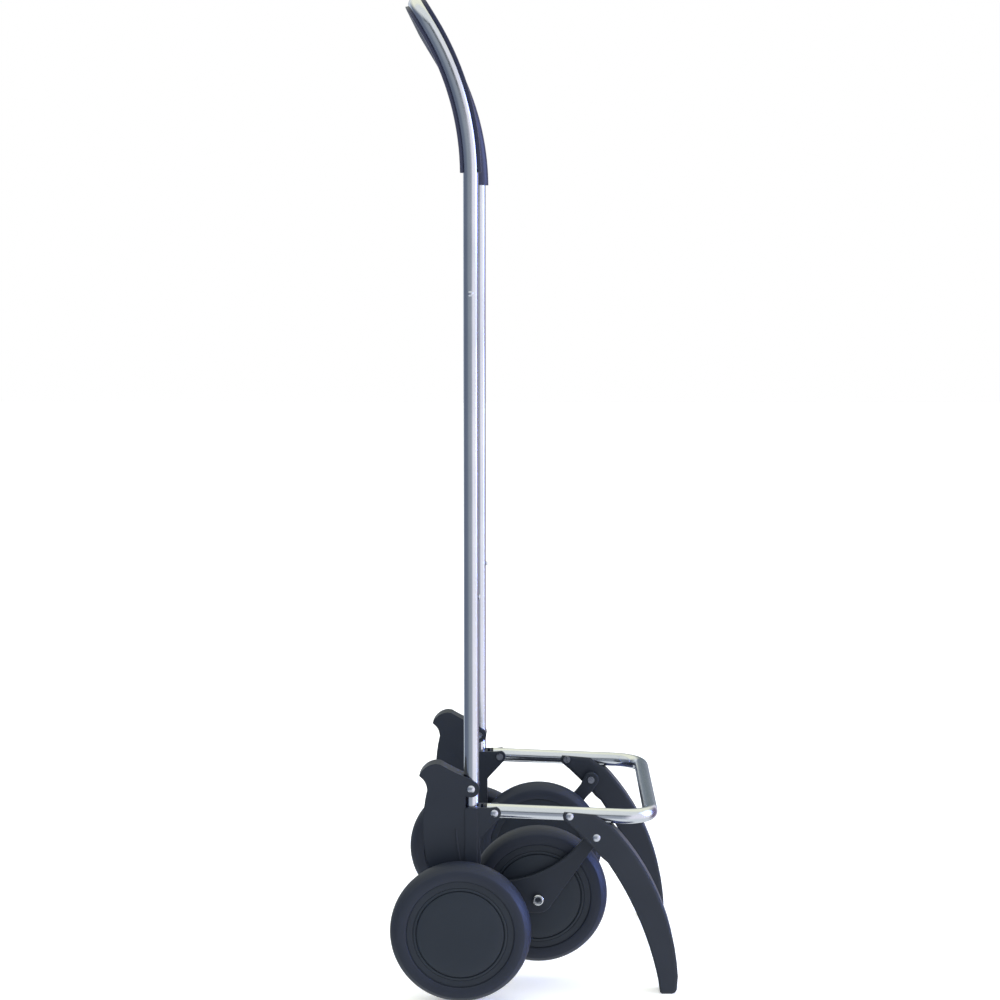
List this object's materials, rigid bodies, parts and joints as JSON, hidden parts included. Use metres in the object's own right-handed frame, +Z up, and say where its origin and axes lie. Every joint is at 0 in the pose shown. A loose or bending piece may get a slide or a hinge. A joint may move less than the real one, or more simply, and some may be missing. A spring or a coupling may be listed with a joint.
{
  "type": "folding shopping trolley chassis",
  "caption": "Folding shopping trolley frame: hooped tube handle with a grip, moulded side brackets, hinged base bar and legs, and front wheels on a carrier that swings up.",
  "frame": {"origin": "on the floor, at the middle of the whole trolley's bounding box", "axes": "+X forward, towards the legs; +Y to the trolley's left; +Z up, along the uprights"},
  "size_m": [0.307, 0.39, 1.0568],
  "materials": {
    "polished_tube": "bright polished",
    "grip_plastic": "satin, dark navy",
    "moulded_plastic": "fine moulded grain, blue-black",
    "rim_plastic": "moulded",
    "hubcap_plastic": "smooth satin",
    "tyre_rubber": "moulded rubber",
    "rivet_steel": "zinc plated",
    "axle_steel": "drawn and zinc plated",
    "bright_ring": "nickel plated",
    "black_nylon": "moulded"
  },
  "bodies": {
    "frame": {"handle_loop": "polished_tube", "handle_grip": "grip_plastic", "upright_left": "polished_tube", "upright_right": "polished_tube", "joint_buttons": "rivet_steel", "bag_studs": "rivet_steel", "bracket_left": "moulded_plastic", "bracket_right": "moulded_plastic", "upright_rivets": "rivet_steel", "bar_hinge_rivets": "rivet_steel", "arm_pivot_pins": "rivet_steel", "rear_axle": "axle_steel", "rear_spacers": "black_nylon", "rear_axle_caps": "axle_steel"},
    "base_bar": {"base_bar": "polished_tube", "bar_end_plugs": "black_nylon", "leg_hinge_rivets": "rivet_steel"},
    "leg_left": {"leg_left": "moulded_plastic", "leg_link_rivet_left": "rivet_steel"},
    "leg_right": {"leg_right": "moulded_plastic", "leg_link_rivet_right": "rivet_steel"},
    "wheel_carrier": {"arm_left": "moulded_plastic", "arm_right": "moulded_plastic", "arm_link_rivets": "rivet_steel", "front_axle": "axle_steel", "front_axle_caps": "bright_ring", "front_stop_rings": "black_nylon"},
    "rear_left_wheel": {"rear_left_rim": "rim_plastic", "rear_left_tyre": "tyre_rubber", "rear_left_hubcap": "hubcap_plastic"},
    "rear_right_wheel": {"rear_right_rim": "rim_plastic", "rear_right_tyre": "tyre_rubber", "rear_right_hubcap": "hubcap_plastic"},
    "front_left_wheel": {"front_left_rim": "rim_plastic", "front_left_tyre": "tyre_rubber", "front_left_hubcap": "hubcap_plastic"},
    "front_right_wheel": {"front_right_rim": "rim_plastic", "front_right_tyre": "tyre_rubber", "front_right_hubcap": "hubcap_plastic"}
  },
  "joints": [
    {"name": "fold", "type": "hinge", "parent": "frame", "child": "base_bar", "pos_m": [-0.04317, 0, 0.1959], "axis": [0, -1, 0], "range_deg": [0, 85]},
    {"name": "leg_left_fold", "type": "hinge", "parent": "base_bar", "child": "leg_left", "pos_m": [0.03697, 0.143, 0.19296], "axis": [0, -1, 0], "range_deg": [-108, 0]},
    {"name": "leg_right_fold", "type": "hinge", "parent": "base_bar", "child": "leg_right", "pos_m": [0.03697, -0.143, 0.19296], "axis": [0, -1, 0], "range_deg": [-108, 0]},
    {"name": "carrier_swing", "type": "hinge", "parent": "frame", "child": "wheel_carrier", "pos_m": [-0.07847, 0, 0.095], "axis": [0, -1, 0], "range_deg": [0, 39.2]},
    {"name": "rear_left_spin", "type": "hinge", "parent": "frame", "child": "rear_left_wheel", "pos_m": [-0.07847, 0.18, 0.075], "axis": [0, 1, 0], "continuous": true},
    {"name": "rear_right_spin", "type": "hinge", "parent": "frame", "child": "rear_right_wheel", "pos_m": [-0.07847, -0.18, 0.075], "axis": [0, 1, 0], "continuous": true},
    {"name": "front_left_spin", "type": "hinge", "parent": "wheel_carrier", "child": "front_left_wheel", "pos_m": [0.00353, 0.107, 0.0963], "axis": [0, 1, 0], "continuous": true},
    {"name": "front_right_spin", "type": "hinge", "parent": "wheel_carrier", "child": "front_right_wheel", "pos_m": [0.00353, -0.107, 0.0963], "axis": [0, 1, 0], "continuous": true}
  ],
  "couplings": [
    {"joint": "leg_left_fold", "follows": "fold", "ratio": -1.27},
    {"joint": "leg_right_fold", "follows": "fold", "ratio": -1.27},
    {"joint": "carrier_swing", "follows": "fold", "ratio": 0.46}
  ]
}
